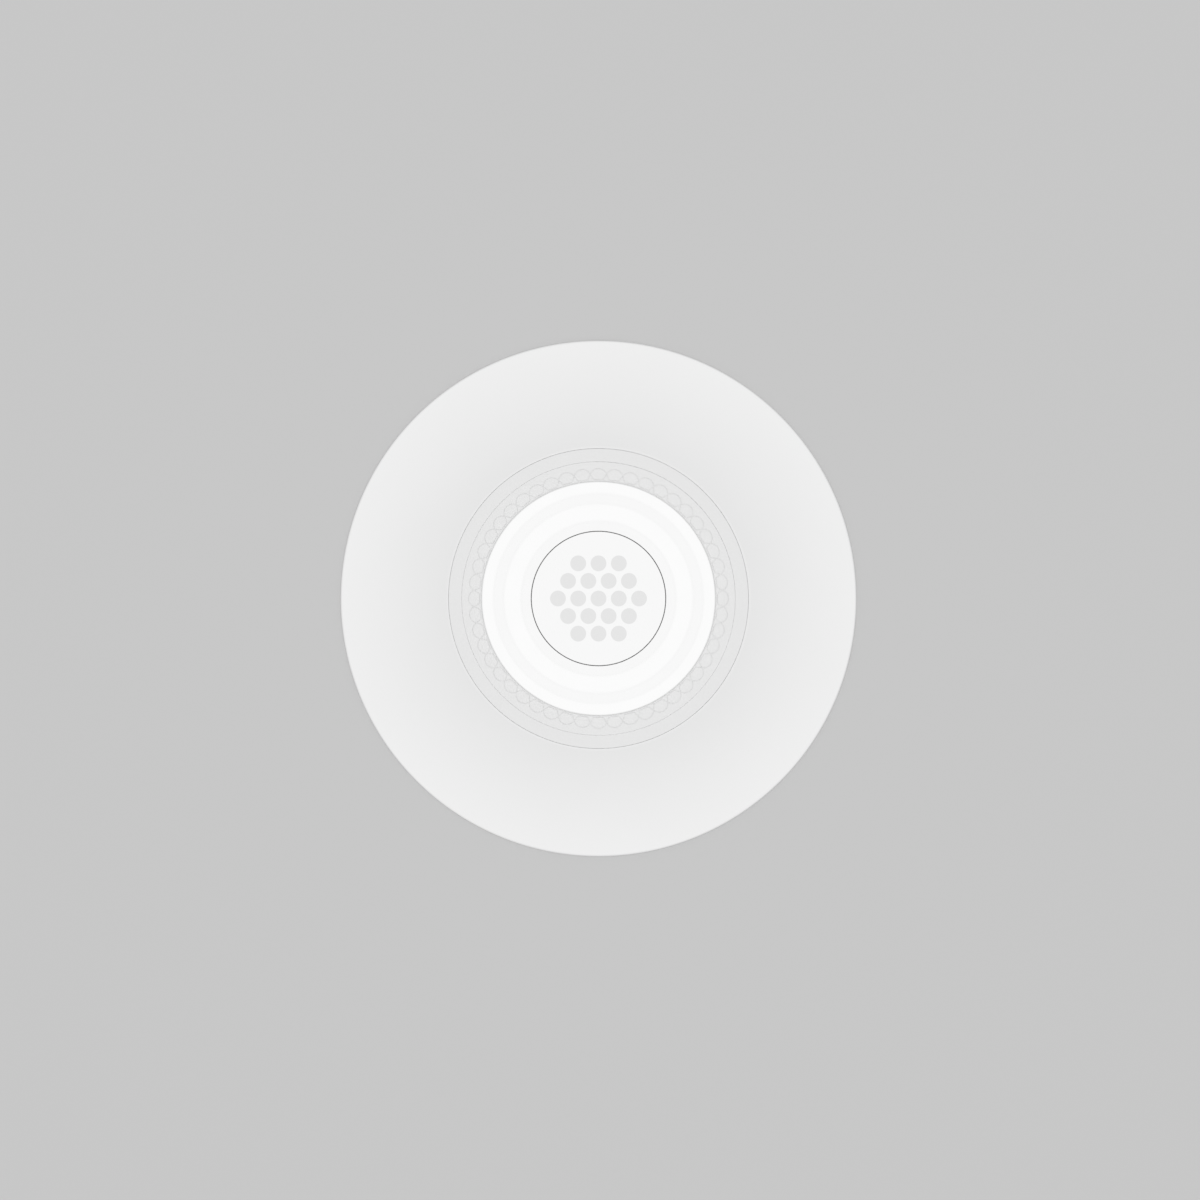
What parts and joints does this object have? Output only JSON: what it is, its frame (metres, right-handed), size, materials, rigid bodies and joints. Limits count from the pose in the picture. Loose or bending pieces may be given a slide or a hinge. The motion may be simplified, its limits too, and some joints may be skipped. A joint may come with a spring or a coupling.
{
  "type": "suction phone patch",
  "caption": "Round suction patch for the back of a phone: a soft flared cup carrying a stiff platform and a pop-out bellows grip with a round button, shown pushed in.",
  "frame": {"origin": "centre of the circle that the sealing lip makes on the surface it sticks to", "axes": "+Z away from that surface, the way the button pops out"},
  "size_m": [0.069, 0.069, 0.0075],
  "materials": {
    "soft_cup": "soft matt moulded silicone, off-white",
    "stiff_base": "fine matt moulded plastic, off-white",
    "soft_bellows": "smooth satin elastomer, white",
    "button_plastic": "fine satin moulded plastic, white"
  },
  "bodies": {
    "base": {"suction_cup": "soft_cup", "platform": "stiff_base", "clamp_ring": "stiff_base", "bellows": "soft_bellows"},
    "button": {"button_core": "button_plastic", "button_cap": "button_plastic"}
  },
  "joints": [
    {"name": "pop_out", "type": "slide", "parent": "base", "child": "button", "axis": [0, 0, 1], "range_m": [0, 0.009], "deforming": ["bellows"]}
  ]
}
